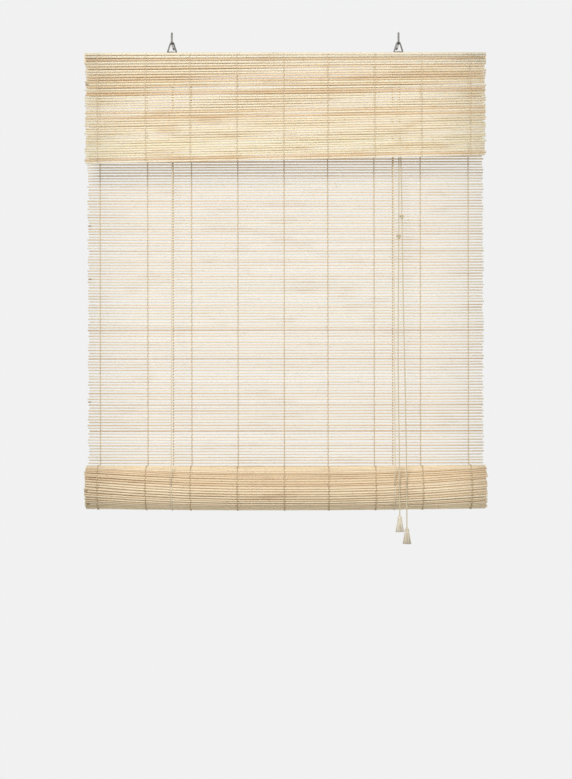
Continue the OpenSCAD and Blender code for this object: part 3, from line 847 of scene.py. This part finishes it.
def makeRoll():
    rand = random.Random(rollSpec["seeds"]["reeds"])
    low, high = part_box("bottom_bar")
    axis = Vector((0, (low.y + high.y) / 2, (low.z + high.z) / 2))
    half = high.x
    pitch, thick = rollSpec["pitch"], matSpec["reed"]
    turn, rIn, rOut = rollSpec["turnPitch"], rollSpec["innerR"], rollSpec["outerR"]
    rolled = math.pi * (rOut * rOut - rIn * rIn) / turn
    count = int(rolled / pitch)
    outerCount = int(math.tau * (rOut - turn / 2) / pitch)

    def smile(x, angle):
        ease = min(1, -angle / rollSpec["easeIn"])
        curl = max(0, abs(x) / half - rollSpec["straight"]) ** rollSpec["smilePower"]
        return ease * rollSpec["smile"] * curl

    def spot(row):
        # radius and angle of a row of the spiral
        nested = outerCount <= row < 2 * outerCount
        if nested:
            row += 0.5 - outerCount
        r = math.sqrt(rIn * rIn + turn * (rolled - row * pitch) / math.pi)
        angle = min(0, (r - rOut) * math.tau / turn)
        if row < outerCount:
            r = rOut - turn * (-angle / math.tau) ** rollSpec["hold"]
        else:
            r = rIn + (r - rIn) * rollSpec["innerSpread"]
        return r - (rollSpec["nest"] if nested else 0), angle

    def middle(x):
        rise = (x / half) ** 2 - rollSpec["bowLevel"] ** 2
        return axis + Vector((x, 0, rollSpec["bow"] * rise))

    outerBlank = stickBlank("outerReed", 8, 8)
    innerBlank = stickBlank("innerReed", 8, 2)
    bm = newSticks()
    for row in range(count):
        radius, angle = spot(row)
        outer = row < 2 * outerCount
        r0 = thick / 2 * rand.uniform(rollSpec["thinnest"], rollSpec["thickest"])
        r1 = thick / 2 * rand.uniform(rollSpec["thinnest"], rollSpec["thickest"])
        left = -half + rand.uniform(0, rollSpec["endSpread"])
        right = half - rand.uniform(0, rollSpec["endSpread"])
        skew = rand.uniform(-rollSpec["skew"], rollSpec["skew"])
        stray = rand.uniform(-rollSpec["stray"], rollSpec["stray"])

        def place(share, a, b):
            x = left + (right - left) * share
            r = r0 + (r1 - r0) * share
            further = smile(x, angle) if outer else smile(half, angle) * abs(share * 2 - 1)
            phi = angle + stray + skew * (share - 0.5) - further
            out = Vector((0, math.cos(phi), math.sin(phi)))
            side = Vector((0, -out.z, out.y))
            return middle(x) + out * (radius + a * r) + side * b * r * rollSpec["fuller"]

        addStick(bm, outerBlank if outer else innerBlank, rand.random(), right - left, place)
    roll = finishPiece(bm, "reedRoll", amberWithPaintedShade, "roll")
    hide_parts("reed_roll")

    def onRoll(row, part, x, face):
        radius, angle = spot(row + part)
        phi = angle - smile(x, angle)
        r = radius + face * (thick / 2 + rollSpec["strandClear"])
        return middle(x) + Vector((0, r * math.cos(phi), r * math.sin(phi)))

    strands = twinedWarps(range(outerCount), half, onRoll, rollSpec["seeds"]["threads"])
    threads = finishPiece(strandMesh("rollThreads", strands, rollSpec["twine"]),
                          "rollThreads", rolledWarpWithPaintedShade, "roll")
    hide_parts("roll_threads")


makeRoll()
print("roll made")


# Hooks and fittings

hookSpec = {
    "threadPitch": 1.3 * mm,
    "threadHeight": 0.22 * mm,
    "threadFrom": 1 * mm,
    "plainTip": 3 * mm,
    "shankR": 1.2 * mm,
    "turnSteps": 12,
}


def makeHookThread(side):
    low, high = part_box("hook_" + side)
    x = (low.x + high.x) / 2
    radius = hookSpec["shankR"]
    start, end = hookSpec["threadFrom"], high.y - hookSpec["plainTip"]
    turns = (end - start) / hookSpec["threadPitch"]
    steps = int(turns * hookSpec["turnSteps"])
    helix = []
    for k in range(steps + 1):
        a = math.tau * turns * k / steps
        helix.append((x + radius * math.cos(a), start + (end - start) * k / steps, radius * math.sin(a)))
    finishPiece(strandMesh("hookThread", [helix], hookSpec["threadHeight"]),
                "hookThread" + side.capitalize(), zinc, "hooks")


for side in ("left", "right"):
    makeHookThread(side)

dress(zinc, "steel", "hook_left", "hook_right", "hanger_left", "hanger_right", "strap_left", "strap_right",
      "strap_nails")
dress(brightZinc, "steel", "guide_eye_left", "guide_eye_right", "cord_tacks", "lock_frame", "lock_bar",
      "lock_cam_pin", "lock_cam", "lock_screws")
dress(batten, "batten", "head_rail", "bottom_bar")
print("fittings dressed")


# Stage and light

stageSpec = {
    "floorZ": -1.9,
    "floorReach": 2.2,
    "floor": (0.82, 0.82, 0.81, 1),
    "background": (0.875, 0.88, 0.875, 1),
    "skyLight": 0.50,
    "lamps": [      # name, place, aim, size, watts
        ("keyLamp", (-0.8, -2.5, 1.4), (0, 0, -0.4), 1.3, 68),
        ("fillLamp", (1.8, -2.4, 0.2), (0, 0, -0.4), 2.0, 20),
        ("backLamp", (-0.1, 1.0, -0.2), (0, 0, -0.3), 1.3, 4.5),
    ],
}


def makeFloor():
    bm = bmesh.new()
    bmesh.ops.create_grid(bm, x_segments=1, y_segments=1, size=stageSpec["floorReach"])
    bmesh.ops.translate(bm, verts=bm.verts[:], vec=(0, 0, stageSpec["floorZ"]))
    mesh = bpy.data.meshes.new("floor")
    bm.to_mesh(mesh)
    bm.free()
    floor = bpy.data.objects.new("floor", mesh)
    bpy.context.scene.collection.objects.link(floor)
    mesh.materials.append(Finish("floorPaint").set(Base_Color=stageSpec["floor"], Roughness=0.9))


def makeLamps():
    for name, spot, aim, size, watts in stageSpec["lamps"]:
        data = bpy.data.lights.new(name, "AREA")
        data.shape = "DISK"
        data.size = size
        data.energy = watts
        lamp = bpy.data.objects.new(name, data)
        bpy.context.scene.collection.objects.link(lamp)
        lamp.location = spot
        lamp.rotation_euler = (Vector(aim) - Vector(spot)).to_track_quat("-Z", "Y").to_euler()


def makeSky():
    # the camera, gloss and clear surfaces see the background; everything else gets the sky's light
    world = bpy.data.worlds.new("studio")
    world.use_nodes = True
    bpy.context.scene.world = world
    world.node_tree.nodes.clear()
    sky = Graph(world.node_tree)
    names = ("Is Camera Ray", "Is Glossy Ray", "Is Transmission Ray")
    direct, glossy, clear = [sky.node("ShaderNodeLightPath", out=name) for name in names]
    seen = direct.larger(glossy.larger(clear))
    light = sky.node("ShaderNodeBackground", {}, {"Color": (1, 1, 1, 1), "Strength": stageSpec["skyLight"]})
    back = sky.node("ShaderNodeBackground", {}, {"Color": stageSpec["background"], "Strength": 1.0})
    both = sky.node("ShaderNodeMixShader", {}, {0: seen, 1: light, 2: back})
    sky.node("ShaderNodeOutputWorld", {}, {"Surface": both})


makeFloor()
makeLamps()
makeSky()
bpy.context.scene.view_settings.view_transform = "Standard"
print("stage and light set")
